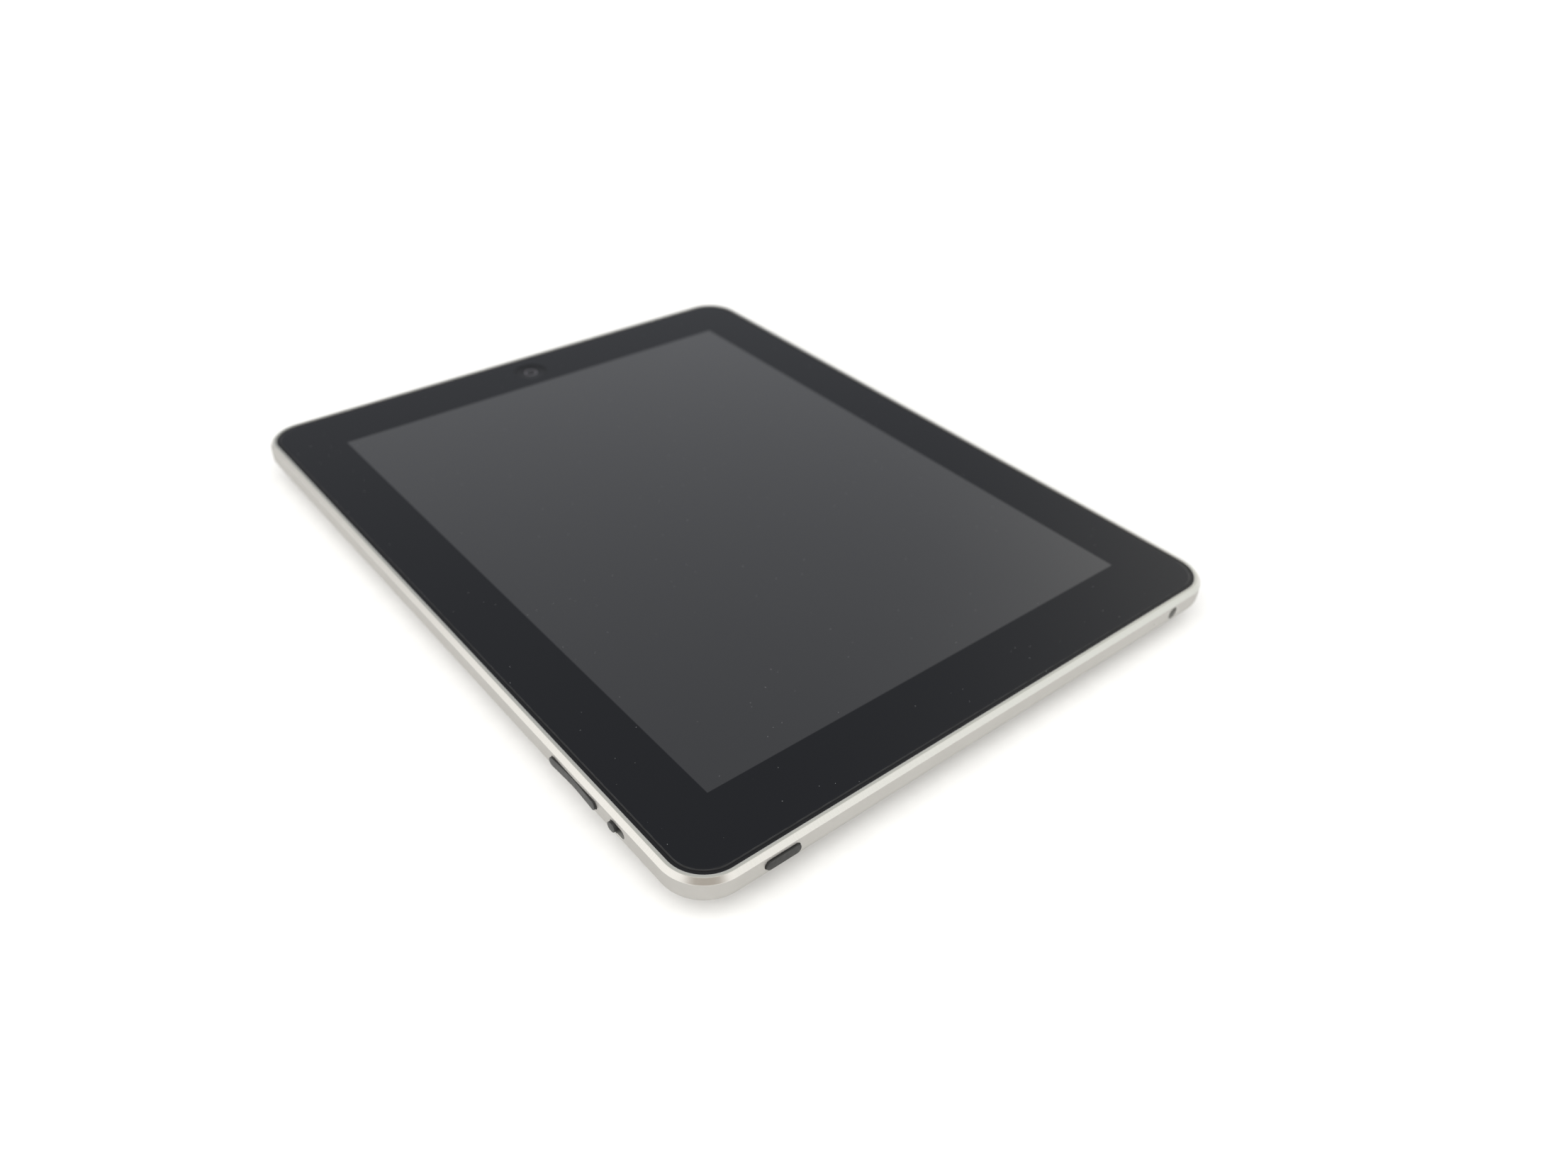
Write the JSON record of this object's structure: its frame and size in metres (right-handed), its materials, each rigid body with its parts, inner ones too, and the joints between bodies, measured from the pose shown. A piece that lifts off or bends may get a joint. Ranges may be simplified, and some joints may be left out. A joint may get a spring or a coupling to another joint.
{
  "type": "tablet computer",
  "caption": "Thin tablet computer with a black glass front, a round front button, an aluminium rear case and keys along two edges.",
  "frame": {"origin": "centre of the flat middle of the back, on the surface the tablet lies on", "axes": "+Z out of the screen, +Y towards the top edge with the power button and the headphone jack, +X towards the side with the volume keys"},
  "size_m": [0.1905, 0.2433, 0.0134],
  "materials": {
    "case_aluminium": "bead-blasted and clear anodised, polished chamfer",
    "cover_glass": "polished, black print behind the border",
    "black_plastic": "fine satin",
    "button_plastic": "satin, dark grey",
    "clear_sheet": "clear sheet",
    "display_cell": "dark polarised cell",
    "steel": "stamped or turned, bright",
    "circuit_board": "solder mask over glass laminate",
    "chip_resin": "moulded resin",
    "battery_wrap": "laminate pouch",
    "cable_film": "amber polyimide film",
    "contact_gold": "gold plated",
    "rubber": "soft, black"
  },
  "bodies": {
    "tablet_body": {"rear_case": "case_aluminium", "cover_glass": "cover_glass", "front_frame": "black_plastic", "antenna_window": "black_plastic", "headphone_jack": "black_plastic", "battery_tray": "black_plastic", "display_socket": "black_plastic", "dock_socket": "black_plastic", "speaker_box": "black_plastic", "touch_sensor": "clear_sheet", "light_guide": "clear_sheet", "lcd_glass": "display_cell", "backlight_tray": "steel", "home_button_bracket": "steel", "power_bracket": "steel", "side_bracket": "steel", "dock_connector": "steel", "main_shield": "steel", "wifi_shield": "steel", "speaker_driver_left": "steel", "speaker_driver_right": "steel", "speaker_mesh_left": "steel", "speaker_mesh_middle": "steel", "speaker_mesh_right": "steel", "board_screw_1": "steel", "board_screw_2": "steel", "board_screw_3": "steel", "board_screw_4": "steel", "dock_screw_1": "steel", "dock_screw_2": "steel", "logic_board": "circuit_board", "wifi_board": "circuit_board", "battery_board": "circuit_board", "home_button_switch": "circuit_board", "led_strip": "circuit_board", "processor": "chip_resin", "power_chip": "chip_resin", "flash_chip_1": "chip_resin", "flash_chip_2": "chip_resin", "light_sensor": "chip_resin", "power_switch": "chip_resin", "volume_up_switch": "chip_resin", "volume_down_switch": "chip_resin", "lock_switch": "chip_resin", "battery_cell_left": "battery_wrap", "battery_cell_right": "battery_wrap", "touch_cable": "cable_film", "display_cable": "cable_film", "dock_cable": "cable_film", "window_antenna": "cable_film", "dock_contacts": "contact_gold", "wifi_antenna": "contact_gold", "microphone": "rubber", "home_button_membrane": "rubber", "battery_cable": "rubber"},
    "home_button": {"home_button": "black_plastic"},
    "power_button": {"power_button": "button_plastic"},
    "volume_rocker": {"volume_rocker": "button_plastic"},
    "lock_knob": {"lock_knob": "button_plastic"}
  },
  "joints": [
    {"name": "home_button_press", "type": "slide", "parent": "tablet_body", "child": "home_button", "axis": [0, 0, -1], "range_m": [0, 0.00035]},
    {"name": "power_button_press", "type": "slide", "parent": "tablet_body", "child": "power_button", "axis": [0, -1, 0], "range_m": [0, 0.0004]},
    {"name": "volume_rocker_tilt", "type": "hinge", "parent": "tablet_body", "child": "volume_rocker", "pos_m": [0.0924, 0.074, 0.0097], "axis": [0, 0, 1], "range_deg": [-1.6, 1.6]},
    {"name": "lock_knob_slide", "type": "slide", "parent": "tablet_body", "child": "lock_knob", "axis": [0, 1, 0], "range_m": [0, 0.0028]}
  ]
}
